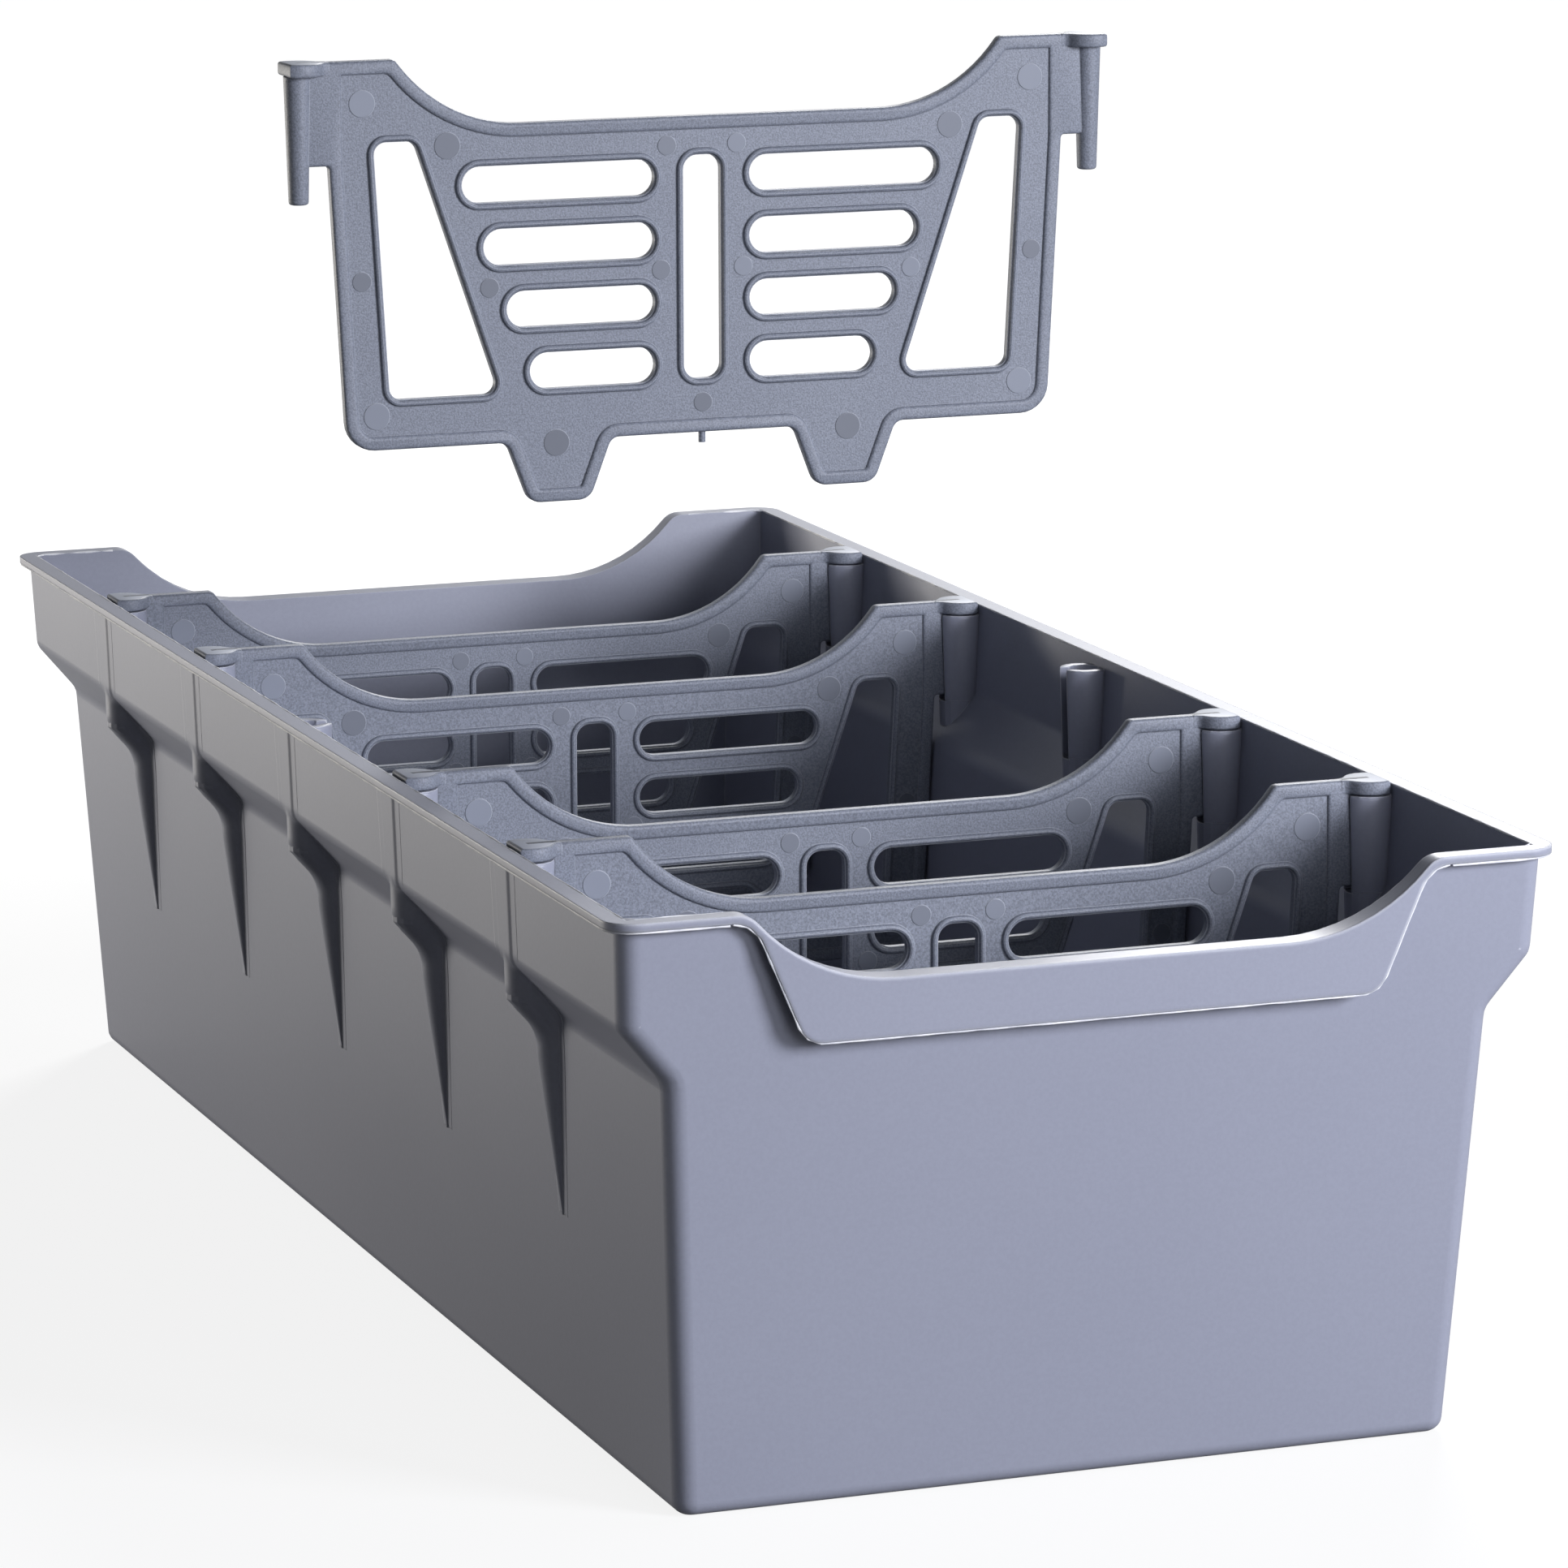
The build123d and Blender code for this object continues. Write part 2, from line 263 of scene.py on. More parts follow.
# The two finishes: colours, and the size of each pattern in millimetres
binPlastic = {
    "colour": "#9a9dab",
    "cloudColour": "#9093a2",
    # painted highlight colour for the edges
    "edgeHighlightColour": "#eceef2",
    # painted shade colour for the inside corners
    "creaseShadeColour": "#74777f",
    "cloud": 70.0,
    "grain": 0.7,
    "grainDepth": 0.010,
    "speckle": 0.02,
    "edgeRound": 0.4,
    "lipRound": 0.9,
    "lipFrom": 167.0,
    "crease": 0.7,
    "creaseShadeWeight": 0.25,
    "roughness": (0.34, 0.44),
}
dividerPlastic = {
    "colour": "#828792",
    "cloudColour": "#797e8a",
    # painted highlight colour for the edges
    "edgeHighlightColour": "#d4d8e0",
    # painted shade colour for the inside corners
    "creaseShadeColour": "#3c404c",
    "cloud": 30.0,
    "grain": 0.3,
    "grainDepth": 0.055,
    "speckle": 0.22,
    "edgeRound": 0.2,
    "lipRound": 0.2,
    "lipFrom": 167.0,
    "crease": 0.9,
    "creaseShadeWeight": 0.8,
    "roughness": (0.46, 0.58),
}


def plasticColour(tree, finish, cloud, grain, disc, smooth):
    # clouded where the plastic flowed, and flecked by the grain; what is smooth takes its disc tone
    # instead, which on the head tops is a painted highlight
    drift = addNode(tree, "ShaderNodeMix", {
        "Factor": cloud,
        6: toLinear(finish["colour"]),
        7: toLinear(finish["cloudColour"]),
    }, data_type="RGBA")
    fleck = addNode(tree, "ShaderNodeMapRange", {
        "Value": grain,
        "From Min": polypropylene["fleck"][0],
        "From Max": polypropylene["fleck"][1],
        "To Min": 1 - finish["speckle"],
        "To Max": 1 + finish["speckle"],
    })
    tone = addNode(tree, "ShaderNodeMix", {
        0: smooth,
        2: fleck.outputs[0],
        3: disc,
    }, data_type="FLOAT")
    gritty = addNode(tree, "ShaderNodeVectorMath", {
        0: drift.outputs[2],
        "Scale": tone.outputs[0],
    }, operation="SCALE")
    return gritty.outputs[0]


def creaseShadeDepth(tree, finish):
    # painted shade: how far the inside corners are darkened towards the crease colour, more the deeper
    # they lie
    nook = addNode(tree, "ShaderNodeAmbientOcclusion", {"Distance": finish["crease"] * mm}, samples=8)
    depth = addNode(tree, "ShaderNodeMapRange", {
        "Value": nook.outputs["AO"],
        "From Min": polypropylene["crease"][0],
        "From Max": polypropylene["crease"][1],
        "To Max": finish["creaseShadeWeight"],
    })
    return depth.outputs[0]


def roundedEdgesAndHighlight(tree, finish, place):
    # the lips of the two scooped ends are rounder than the other edges
    ends = addNode(tree, "ShaderNodeMath", {
        0: addNode(tree, "ShaderNodeSeparateXYZ", {0: place}).outputs["Y"],
    }, operation="ABSOLUTE")
    soften = addNode(tree, "ShaderNodeMapRange", {
        "Value": ends.outputs[0],
        "From Min": finish["lipFrom"] * mm,
        "From Max": (finish["lipFrom"] + 1) * mm,
        "To Min": finish["edgeRound"] * mm,
        "To Max": finish["lipRound"] * mm,
    })
    # the rounded edge's normal leaves the face's own normal only beside an edge, and there a highlight
    # is painted
    softened = addNode(tree, "ShaderNodeBevel", {"Radius": soften.outputs[0]}, samples=6)
    facing = addNode(tree, "ShaderNodeNewGeometry").outputs["Normal"]
    agree = addNode(tree, "ShaderNodeVectorMath", {
        0: softened.outputs[0],
        1: facing,
    }, operation="DOT_PRODUCT")
    bend = addNode(tree, "ShaderNodeMapRange", {
        "Value": agree.outputs["Value"],
        "From Min": polypropylene["edge"][0],
        "From Max": polypropylene["edge"][1],
        "To Max": polypropylene["edgeHighlightWeight"],
    })
    return softened.outputs[0], bend.outputs[0]


def mouldedPlastic(name, finish):
    material, tree = newMaterial(name)
    place = addNode(tree, "ShaderNodeTexCoord").outputs["Object"]
    cloud = addNode(tree, "ShaderNodeTexNoise", {
        "Vector": place,
        "Scale": 1 / (finish["cloud"] * mm),
        "Detail": polypropylene["cloudDetail"],
        "Roughness": polypropylene["cloudRoughness"],
    }).outputs["Fac"]
    grain = addNode(tree, "ShaderNodeTexNoise", {
        "Vector": place,
        "Scale": 1 / (finish["grain"] * mm),
        "Detail": polypropylene["grainDetail"],
        "Roughness": polypropylene["grainRoughness"],
    }).outputs["Fac"]
    # ejector discs and head tops are smooth; the discs are lighter or darker than the grained face
    # round them, and the head tops are lighter, a painted highlight
    disc = addNode(tree, "ShaderNodeAttribute", attribute_name="discToneAndTopHighlight").outputs["Fac"]
    smooth = addNode(tree, "ShaderNodeMath", {0: disc, 1: 0.5}, operation="GREATER_THAN").outputs[0]
    depth = creaseShadeDepth(tree, finish)
    # painted shade in the inside corners
    shaded = addNode(tree, "ShaderNodeMix", {
        "Factor": depth,
        6: plasticColour(tree, finish, cloud, grain, disc, smooth),
        7: toLinear(finish["creaseShadeColour"]),
    }, data_type="RGBA")
    softened, bend = roundedEdgesAndHighlight(tree, finish, place)
    # painted highlight on the edges, held back where the inside corners get painted shade
    edge = addNode(tree, "ShaderNodeMath", {0: bend, 1: depth}, operation="SUBTRACT", use_clamp=True)
    body = addNode(tree, "ShaderNodeMix", {
        "Factor": edge.outputs[0],
        6: shaded.outputs[2],
        7: toLinear(finish["edgeHighlightColour"]),
    }, data_type="RGBA")
    shine = addNode(tree, "ShaderNodeMapRange", {
        "Value": cloud,
        "To Min": finish["roughness"][0],
        "To Max": finish["roughness"][1],
    })
    level = addNode(tree, "ShaderNodeMix", {0: smooth, 2: grain, 3: 0.5}, data_type="FLOAT")
    relief = addNode(tree, "ShaderNodeBump", {
        "Height": level.outputs[0],
        "Distance": finish["grainDepth"] * mm,
        "Strength": 1.0,
        "Normal": softened,
    })
    surface = addNode(tree, "ShaderNodeBsdfPrincipled", {
        "Base Color": body.outputs[2],
        "Roughness": shine.outputs[0],
        "IOR": polypropylene["ior"],
        "Normal": relief.outputs[0],
    })
    addNode(tree, "ShaderNodeOutputMaterial", {"Surface": surface.outputs[0]})
    return material


# Polypropylene, injection moulded in a polished tool: soft sheen, faint flow clouds, painted highlights
# on thin edges and painted shade in inside corners
mouldedPolypropylene = mouldedPlastic("mouldedPolypropylene", binPlastic)
# Polypropylene from a spark-eroded tool: a fine even grit that dulls the sheen, with painted edge
# highlights and painted crease shade.
# The real grit is about 0.1 mm and is drawn at 0.3 mm so that it shows.
sparkErodedPolypropylene = mouldedPlastic("sparkErodedPolypropylene", dividerPlastic)

for slot in frame["nodes"]["storage_bin"].material_slots:
    slot.material = mouldedPolypropylene
print("bin finished in", mouldedPolypropylene.name)


def arc(centre, radius, start, end, step=9.0):
    # corners (x, y, no round) along an arc, angles in degrees
    count = max(2, round(abs(end - start) / step))
    turns = [radians(start + (end - start) * i / count) for i in range(count + 1)]
    return [(centre[0] + radius * cos(a), centre[1] + radius * sin(a), 0.0) for a in turns]


def rounded(corners, step=12.0):
    # closed outline from corners (x, y, round), each corner cut by its own arc
    outline = []
    for i, (x, y, radius) in enumerate(corners):
        if not radius:
            outline.append((x, y))
            continue
        here = Vector((x, y))
        before = (Vector(corners[i - 1][:2]) - here).normalized()
        after = (Vector(corners[(i + 1) % len(corners)][:2]) - here).normalized()
        half = before.angle(after) / 2
        centre = here + (before + after).normalized() * radius / sin(half)
        first = here + before * radius / tan(half) - centre
        sweep = (pi - 2 * half) * (1 if before.cross(after) < 0 else -1)
        count = max(2, round(abs(sweep) / radians(step)))
        for n in range(count + 1):
            outline.append(tuple(centre + Matrix.Rotation(sweep * n / count, 2) @ first))
    return outline


def shifted(corners, amount):
    # the same closed outline moved outwards, or inwards where amount is negative
    moved = []
    for i, (x, y, radius) in enumerate(corners):
        here = Vector((x, y))
        along = (here - Vector(corners[i - 1][:2])).normalized()
        onward = (Vector(corners[(i + 1) % len(corners)][:2]) - here).normalized()
        normal = Vector((along.y, -along.x)) + Vector((onward.y, -onward.x))
        normal = normal.normalized()
        # a very sharp corner moves by five times the amount at most
        reach = amount / max(0.2, normal.dot(Vector((onward.y, -onward.x))))
        convex = along.cross(onward) > 0
        grown = max(0.0, radius + (amount if convex else -amount)) if radius else 0.0
        moved.append((x + normal.x * reach, y + normal.y * reach, grown))
    return moved


def bothSides(right):
    # outline corners on the right, bottom to top, and their mirror image
    return right + [(-x, y, radius) for x, y, radius in reversed(right)]


def addSplines(curve, paths, closed):
    # a straight-sided spline for every path of points in millimetres
    for path in paths:
        spline = curve.splines.new("POLY")
        spline.points.add(len(path) - 1)
        for point, place in zip(spline.points, path):
            x, y, z = (*place, 0.0)[:3]  # a flat outline's points have no z
            point.co = (x * mm, y * mm, z * mm, 1)
        spline.use_cyclic_u = closed


def plateMesh(loops, thickness, edgeRound):
    # flat piece in X and Y with its holes, its rims rounded, thickness along Z
    curve = bpy.data.curves.new("plate", "CURVE")
    curve.dimensions = "2D"
    curve.fill_mode = "BOTH"
    curve.extrude = (thickness / 2 - edgeRound) * mm
    curve.bevel_depth = edgeRound * mm
    curve.bevel_resolution = 2  # three faces round each rim
    curve.offset = -edgeRound * mm
    addSplines(curve, loops, True)
    return curveToMesh(curve)


def curveToMesh(curve):
    holder = bpy.data.objects.new("curve", curve)
    bpy.context.collection.objects.link(holder)
    bpy.context.view_layer.update()
    mesh = bpy.data.meshes.new_from_object(holder.evaluated_get(bpy.context.evaluated_depsgraph_get()))
    bpy.data.objects.remove(holder)
    bpy.data.curves.remove(curve)
    # the flat fill and the rounded rim meet without a seam
    shape = bmesh.new()
    shape.from_mesh(mesh)
    bmesh.ops.remove_doubles(shape, verts=shape.verts, dist=0.002 * mm)
    shape.to_mesh(mesh)
    shape.free()
    return mesh


def latheMesh(profile, sides=32):
    # turned piece about Z from points (radius, z), first and last on the axis
    ring = [(cos(2 * pi * i / sides), sin(2 * pi * i / sides)) for i in range(sides)]
    inner = profile[1:-1]
    points = [(r * x * mm, r * y * mm, z * mm) for r, z in inner for x, y in ring]
    points += [(0, 0, profile[0][1] * mm), (0, 0, profile[-1][1] * mm)]
    first, last = len(points) - 2, len(points) - 1
    faces = []
    for i in range(sides):
        j = (i + 1) % sides
        faces.append((first, j, i))
        for row in range(len(inner) - 1):
            a, b = row * sides, (row + 1) * sides
            faces.append((a + i, a + j, b + j, b + i))
        end = (len(inner) - 1) * sides
        faces.append((last, end + i, end + j))
    mesh = bpy.data.meshes.new("turned")
    mesh.from_pydata(points, [], faces)
    return mesh


def joined(parts):
    # one mesh from (mesh, placing matrix) pairs, which keeps the tone of the discs and the painted
    # highlight of the head tops
    points, faces, tones = [], [], []
    for mesh, place in parts:
        start = len(points)
        points += [place @ vertex.co for vertex in mesh.vertices]
        faces += [[start + v for v in face.vertices] for face in mesh.polygons]
        tone = mesh.attributes.get("discToneAndTopHighlight")
        tones += [value.value for value in tone.data] if tone else [0.0] * len(mesh.vertices)
    whole = bpy.data.meshes.new("joined")
    whole.from_pydata(points, [], faces)
    whole.attributes.new("discToneAndTopHighlight", "FLOAT", "POINT").data.foreach_set("value", tones)
    return whole


# Lattice divider, in its own place: drawn flat with X across and Y up, then stood up.
# Its heights count down from the top of its heads.
dividerNumbers = range(1, 6)  # from the front
divider = {
    "height": 63.8,
    "footHalf": 61.68,
    "sideHalf": 64.10,
    "earHeight": 16.9,
    "pinX": 69.1,
    "panel": 1.3,
    "frame": 2.3,
    "frameWidth": 2.3,
    "frameRound": 0.6,
    "panelLap": 0.6,
    "scoop": {"depth": 11.1, "flat": 63.0, "radius": 26.0, "lip": 1.2, "recessRound": 1.4},
    "footRound": 5.0,
    "sideRound": 0.6,
    "tab": {
        "spacing": 50.4,
        "root": 18.2,
        "tip": 10.5,
        "length": 10.2,
        "rootRound": 2.0,
        "tipRound": 2.8,
    },
    "head": {
        "radius": 4.15,
        "flat": 2.1,
        "thickness": 2.2,
        "round": 0.45,
        "neckRound": 1.6,
        "neck": 0.05,
        # how much paler the head's top face is drawn, a painted highlight
        "topHighlightTone": 1.7,
    },
    "pin": {"radius": 2.2, "tip": 1.65, "length": 20.8, "round": 0.5},
    "sprue": {"radius": 0.6, "length": 1.8, "root": 0.5, "sides": 16},
}
windows = {
    "sideTop": 13.4,
    "sideFoot": 55.6,
    "sideX": (56.6, 49.6, 35.4, 54.3),  # outer and inner at the top, inner and outer at the foot
    "sideRound": 2.0,
    "slotHeight": 6.0,
    "slotFirst": 21.0,
    "slotPitch": 10.37,
    "slotInner": 8.3,
    "slotOuter": (41.6, 38.0, 34.1, 30.2),  # from the top row down
    "centreWidth": 6.6,
    "centreTop": 17.6,
    "centreFoot": 54.8,
    "centreRound": 2.4,
    "beadWidth": 1.3,
    "beadHeight": 2.5,
    "beadSides": 12,
}
# each mark: place from the middle, diameter, and the tone of the one on the left and on the right
marks = {
    "height": 0.07,
    "sides": 28,
    "pairs": (
        (58.4, -7.0, 4.4, 1.14, 1.08),
        (44.0, -14.4, 4.4, 0.78, 0.84),
        (56.6, -58.2, 4.4, 1.06, 1.10),
        (25.7, -64.2, 4.4, 0.68, 0.72),
        (58.8, -36.0, 3.2, 0.74, 0.76),
        (37.0, -38.0, 3.2, 0.74, 1.06),
        (7.2, -36.4, 3.2, 0.82, 1.04),
        (6.1, -15.9, 3.2, 0.86, 1.04),
    ),
    "centre": (0.0, -58.8, 3.2, 0.72),
}


def dividerCorners(ears):
    # with ears it is the plate's own outline, and without them the one that the recess is drawn in from
    scoop, tab = divider["scoop"], divider["tab"]
    lipRound = scoop["lip"] if ears else 0.0
    reach = scoop["radius"] + lipRound
    across = sqrt(reach ** 2 - (reach - scoop["depth"]) ** 2)
    climb = 90 - degrees(asin((reach - scoop["depth"]) / reach))
    flatEnd = scoop["flat"] / 2
    sweep = arc((flatEnd, scoop["radius"] - scoop["depth"]), scoop["radius"], -90, climb - 90, 4.0)
    if ears:
        lip = arc((flatEnd + across, -lipRound), lipRound, climb + 90, 90)
    else:
        lip = [(0, 0, 0), (flatEnd + across, 0.0, divider["frameWidth"] + scoop["recessRound"])]
    tabX = tab["spacing"] / 2
    right = [
        (tabX - tab["root"] / 2, -divider["height"], tab["rootRound"]),
        (tabX - tab["tip"] / 2, -divider["height"] - tab["length"], tab["tipRound"]),
        (tabX + tab["tip"] / 2, -divider["height"] - tab["length"], tab["tipRound"]),
        (tabX + tab["root"] / 2, -divider["height"], tab["rootRound"]),
        (divider["footHalf"], -divider["height"], divider["footRound"]),
        (divider["sideHalf"], -divider["earHeight"], divider["sideRound"]),
    ]
    if ears:
        right += [(divider["pinX"], -divider["earHeight"], 0.0), (divider["pinX"], 0.0, 0.0)]
    else:
        right += [(divider["sideHalf"], 0.0, divider["sideRound"])]
    right += list(reversed(lip[1:])) + list(reversed(sweep[:-1]))
    return bothSides(right)


def windowCorners():
    # every opening as its own corner list
    outerTop, innerTop, innerFoot, outerFoot = windows["sideX"]
    side = [
        (outerTop, -windows["sideTop"], windows["sideRound"]),
        (innerTop, -windows["sideTop"], windows["sideRound"]),
        (innerFoot, -windows["sideFoot"], windows["sideRound"]),
        (outerFoot, -windows["sideFoot"], windows["sideRound"]),
    ]
    half = windows["slotHeight"] / 2
    fullRound = half * 0.999  # just short of a half circle, so that no two corners share a point
    inner = windows["slotInner"]
    shapes = [side]
    for row, outer in enumerate(windows["slotOuter"]):
        middle = -windows["slotFirst"] - row * windows["slotPitch"]
        shapes.append([
            (outer, middle + half, fullRound),
            (inner, middle + half, fullRound),
            (inner, middle - half, fullRound),
            (outer, middle - half, fullRound),
        ])
    shapes += [[(-x, y, radius) for x, y, radius in reversed(shape)] for shape in shapes]
    across = windows["centreWidth"] / 2
    top, foot, radius = -windows["centreTop"], -windows["centreFoot"], windows["centreRound"]
    ends = [(across, top), (-across, top), (-across, foot), (across, foot)]
    shapes.append([(x, y, radius) for x, y in ends])
    return shapes


def openTree(name, inputs):
    # new tree with a geometry and its named inputs going in, and geometry coming out
    tree = bpy.data.node_groups.new(name, "GeometryNodeTree")
    face = tree.interface
    face.new_socket("Geometry", in_out="INPUT", socket_type="NodeSocketGeometry")
    for label, kind in inputs.items():
        face.new_socket(label, in_out="INPUT", socket_type="NodeSocket" + kind)
    face.new_socket("Geometry", in_out="OUTPUT", socket_type="NodeSocketGeometry")
    return tree, addNode(tree, "NodeGroupInput")


def closeTree(tree, geometry, material):
    # real faces in one material
    plain = addNode(tree, "GeometryNodeRealizeInstances", {"Geometry": geometry})
    coated = addNode(tree, "GeometryNodeSetMaterial", {
        "Geometry": plain.outputs["Geometry"],
        "Material": material,
    })
    addNode(tree, "NodeGroupOutput", {"Geometry": coated.outputs["Geometry"]})
    return tree


def beadTree():
    # rounded bead of a width and height along every closed line
    tree, given = openTree("windowBeads", {"Bead Width": "Float", "Bead Height": "Float"})
    level = addNode(tree, "GeometryNodeSetCurveNormal", {
        "Curve": given.outputs["Geometry"],
    }, mode="Z_UP")
    size = addNode(tree, "ShaderNodeCombineXYZ", {
        "X": given.outputs["Bead Width"],
        "Y": given.outputs["Bead Height"],
        "Z": 1.0,
    })
    circle = addNode(tree, "GeometryNodeCurvePrimitiveCircle", {
        "Resolution": windows["beadSides"],
        "Radius": 0.5,
    })
    profile = addNode(tree, "GeometryNodeTransform", {
        "Geometry": circle.outputs["Curve"],
        "Scale": size.outputs[0],
    })
    bead = addNode(tree, "GeometryNodeCurveToMesh", {
        "Curve": level.outputs["Curve"],
        "Profile Curve": profile.outputs["Geometry"],
    })
    return closeTree(tree, bead.outputs["Mesh"], sparkErodedPolypropylene)


def markTree():
    # a low round disc on every point, as wide as the point's own diameter
    tree, given = openTree("ejectorMarks", {"Mark Height": "Float"})
    diameter = addNode(tree, "GeometryNodeInputNamedAttribute", {"Name": "diameter"}, data_type="FLOAT")
    size = addNode(tree, "ShaderNodeCombineXYZ", {
        "X": diameter.outputs["Attribute"],
        "Y": diameter.outputs["Attribute"],
        "Z": given.outputs["Mark Height"],
    })
    disc = addNode(tree, "GeometryNodeMeshCylinder", {
        "Vertices": marks["sides"],
        "Radius": 0.5,
        "Depth": 1.0,
    })
    placed = addNode(tree, "GeometryNodeInstanceOnPoints", {
        "Points": given.outputs["Geometry"],
        "Instance": disc.outputs["Mesh"],
        "Scale": size.outputs[0],
    })
    return closeTree(tree, placed.outputs["Instances"], sparkErodedPolypropylene)


def grown(holder, tree, sizes):
    # the plain mesh that a tree makes on a holder object
    bpy.context.collection.objects.link(holder)
    modifier = holder.modifiers.new(tree.name, "NODES")
    modifier.node_group = tree
    for socket in tree.interface.items_tree:
        if socket.in_out == "INPUT" and socket.name in sizes:
            modifier[socket.identifier] = sizes[socket.name]
    bpy.context.view_layer.update()
    mesh = bpy.data.meshes.new_from_object(holder.evaluated_get(bpy.context.evaluated_depsgraph_get()))
    holder.modifiers.remove(modifier)
    bpy.data.objects.remove(holder)
    return mesh


def beadMesh():
    lines = bpy.data.curves.new("windowLines", "CURVE")
    lines.dimensions = "3D"
    loops = [rounded(shifted(shape, windows["beadWidth"] / 2)) for shape in windowCorners()]
    addSplines(lines, loops, True)
    sizes = {"Bead Width": windows["beadWidth"] * mm, "Bead Height": windows["beadHeight"] * mm}
    return grown(bpy.data.objects.new("windowLines", lines), beadTree(), sizes)


def markMesh():
    spots = [marks["centre"]]
    for x, y, diameter, left, right in marks["pairs"]:
        spots += [(-x, y, diameter, left), (x, y, diameter, right)]
    dots = bpy.data.meshes.new("ejectorPoints")
    face = divider["panel"] / 2 * mm
    dots.from_pydata([(x * mm, y * mm, face) for x, y, _, _ in spots], [], [])
    width = dots.attributes.new("diameter", "FLOAT", "POINT")
    tone = dots.attributes.new("discToneAndTopHighlight", "FLOAT", "POINT")
    for i, (_, _, diameter, shade) in enumerate(spots):
        width.data[i].value = diameter * mm
        tone.data[i].value = shade
    sizes = {"Mark Height": 2 * marks["height"] * mm}
    return grown(bpy.data.objects.new("ejectorPoints", dots), markTree(), sizes)


def headMesh():
    # round head, cut flat beside the wall, with a neck that runs into the plate
    head = divider["head"]
    half = divider["frame"] / 2
    fillet = head["neckRound"]
    neckX = -sqrt((head["radius"] + fillet) ** 2 - (half + fillet) ** 2)
    join = degrees(atan2(half + fillet, neckX))
    flatTurn = degrees(atan2(sqrt(head["radius"] ** 2 - head["flat"] ** 2), head["flat"]))
    upper = arc((0, 0), head["radius"], flatTurn, join)
    upper += arc((neckX, half + fillet), fillet, join - 180, -90)
    upper += [(neckX - head["neck"], half, 0.0)]
    lower = [(x, -y, radius) for x, y, radius in reversed(upper)]
    mesh = plateMesh([[(x, y) for x, y, _ in upper + lower]], head["thickness"], head["round"])
    # painted highlight: the top face is drawn pale, and smooth without grain
    top = (head["thickness"] / 2 - 0.01) * mm  # a hair below it
    highlitTop = [head["topHighlightTone"] if vertex.co.z > top else 0.0 for vertex in mesh.vertices]
    mesh.attributes.new("discToneAndTopHighlight", "FLOAT", "POINT").data.foreach_set("value", highlitTop)
    return mesh


def pinMesh():
    pin = divider["pin"]
    middle = (pin["tip"] - pin["round"], pin["round"] - pin["length"])
    tip = [(radius, z) for radius, z, _ in arc(middle, pin["round"], -90, 0, 30)]
    return latheMesh([(0, -pin["length"]), *tip, (pin["radius"], 0), (0, 0)])


def dividerMesh():
    outline = rounded(dividerCorners(True))
    recess = shifted(dividerCorners(False), -divider["frameWidth"])
    openings = [rounded(shape) for shape in windowCorners()]
    panelLoop = rounded(shifted(recess, divider["panelLap"]))
    upright = Matrix.Rotation(pi / 2, 4, "X")
    parts = [
        (plateMesh([outline, rounded(recess)], divider["frame"], divider["frameRound"]), upright),
        (plateMesh([panelLoop] + openings, divider["panel"], 0.0), upright),
        (beadMesh(), upright),
        (markMesh(), upright),
    ]
    head, pin = headMesh(), pinMesh()
    for turn, side in ((0, 1), (pi, -1)):
        drop = -divider["head"]["thickness"] * mm
        axis = Matrix.Translation((side * divider["pinX"] * mm, 0, 0)) @ Matrix.Rotation(turn, 4, "Z")
        parts.append((head, axis @ Matrix.Translation((0, 0, drop / 2))))
        parts.append((pin, axis @ Matrix.Translation((0, 0, drop))))
    sprue = divider["sprue"]
    peg = latheMesh([
        (0, -sprue["length"]),
        (sprue["radius"], -sprue["length"]),
        (sprue["radius"], sprue["root"]),
        (0, sprue["root"]),
    ], sprue["sides"])
    parts.append((peg, Matrix.Translation((0, 0, -divider["height"] * mm))))
    return joined(parts)


def addPiece(name, mesh, material, body):
    mesh.name = name
    mesh.materials.clear()
    mesh.materials.append(material)
    mesh.shade_smooth()
    mesh.set_sharp_from_angle(angle=sharpFrom)
    piece = bpy.data.objects.new(name, mesh)
    bpy.context.collection.objects.link(piece)
    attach(piece, body)
    return piece


pattern = dividerMesh()
for number in dividerNumbers:
    node = f"divider_{number}"
    low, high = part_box(node)
    mesh = pattern.copy()
    mesh.transform(Matrix.Translation(((low[0] + high[0]) / 2, (low[1] + high[1]) / 2, high[2])))
    name = f"lattice_divider_{number}"
    piece = addPiece(name, mesh, sparkErodedPolypropylene, node)
    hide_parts(node)
print("dividers made:", len(pattern.polygons), "faces each")

# Sockets of the bin, in their own place: X outwards from the pin's axis, Y along the wall, Z up
# skin is how far a smooth piece stands proud of the solid under it
socket = {
    "top": 90.2,
    "radius": 4.05,
    "footRadius": 3.4,
    "bore": 2.5,
    "boreFoot": 1.95,
    "depth": 21.0,
    "slit": 2.9,
    "slitDepth": 15.6,
    "slitFoot": 0.2,
    "lip": 0.55,
    "skin": 0.03,
    "knee": 69.0,
    "step": 4.8,
    "turn": 42.2,
    "ankle": 2.5,
    "toeToTip": 25.8,
    "tipRadius": 0.2,
    "bend": 1.6,
    "start": 90.6,
    "pastTip": 0.5,
    "sweep": 80.0,  # degrees of the tube's outside that are covered, each way from the middle
    "flare": 1.8,
    "blend": 0.9,
    "leastBlend": 0.06,
    "blendRise": 18.0,
    "blendDrop": 5.0,
    "blendBelowBand": 1.5,
    "fall": 3.0,  # how steeply the tube's own surface drops beside it, so that the wall takes over
    "skinThickness": 0.6,
}
strip = {
    "topHalf": 2.7,
    "footHalf": 2.2,
    "top": 91.4,
    "foot": 73.9,
    "footFade": 1.6,
    "proud": 0.32,
    "edgeStart": 0.1,
    "edgeEnd": 1.1,
    "lift": 0.02,
    "margin": 1.0,
}
